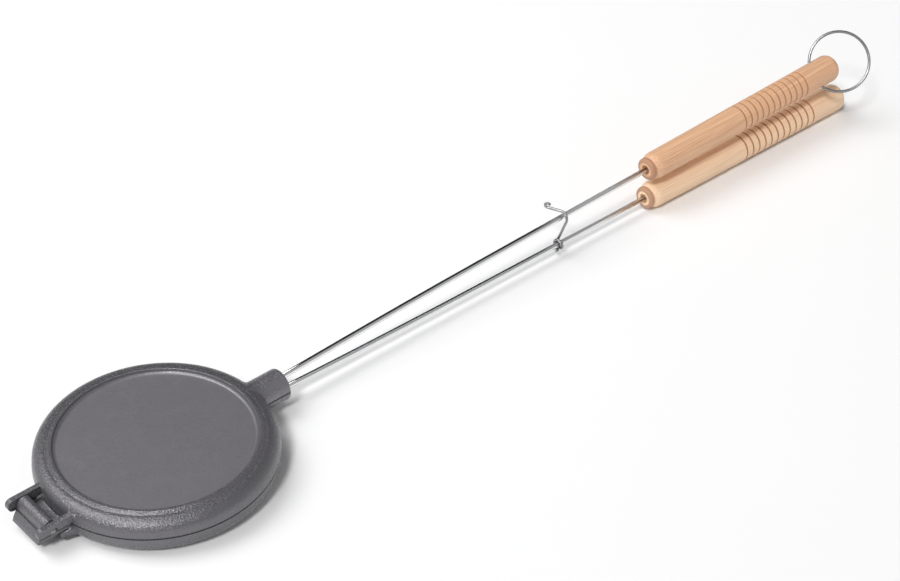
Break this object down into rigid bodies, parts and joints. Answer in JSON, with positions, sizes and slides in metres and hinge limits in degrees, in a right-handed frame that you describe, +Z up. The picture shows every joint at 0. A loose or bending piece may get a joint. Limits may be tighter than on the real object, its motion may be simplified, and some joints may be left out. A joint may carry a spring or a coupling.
{
  "type": "campfire waffle iron",
  "caption": "Long-handled campfire waffle iron: hinged round cast plates on steel rods with turned wooden handles, a wire latch hook and a hanging ring.",
  "frame": {"origin": "on the ground under the middle of the iron's box, as it lies closed on the hinge edge of its base ring and the end of its lower handle", "axes": "+X from the hinge to the handle ends, +Y to the left of the handles seen from behind them, +Z up"},
  "size_m": [0.9218, 0.19, 0.0858],
  "materials": {
    "cast_iron": "fine sand-cast surface, satin",
    "chromed_rod": "bright plated rod",
    "upper_wood": "turned hardwood, thin clear oil",
    "lower_wood": "turned hardwood, thin clear oil",
    "steel_wire": "drawn wire, dull bright",
    "pin_steel": "plain drawn steel"
  },
  "bodies": {
    "lower_half": {"lower_plate": "cast_iron", "lower_rod": "chromed_rod", "lower_handle": "lower_wood"},
    "upper_half": {"upper_plate": "cast_iron", "hinge_pin": "pin_steel", "upper_rod": "chromed_rod", "upper_handle": "upper_wood"},
    "latch": {"latch_hook": "steel_wire"},
    "ring": {"hanging_ring": "steel_wire"}
  },
  "joints": [
    {"name": "plate_hinge", "type": "hinge", "parent": "lower_half", "child": "upper_half", "pos_m": [-0.4474, 0, 0.01853], "axis": [0, -1, 0], "range_deg": [0, 100]},
    {"name": "latch_swing", "type": "hinge", "parent": "lower_half", "child": "latch", "pos_m": [0.08079, 0, 0.01228], "axis": [1, 0, 0.0026], "range_deg": [0, 90]},
    {"name": "ring_swing", "type": "hinge", "parent": "upper_half", "child": "ring", "pos_m": [0.41313, 0, 0.0512], "axis": [-0.0224, 0.7272, 0.6861], "range_deg": [-119, 50]}
  ]
}
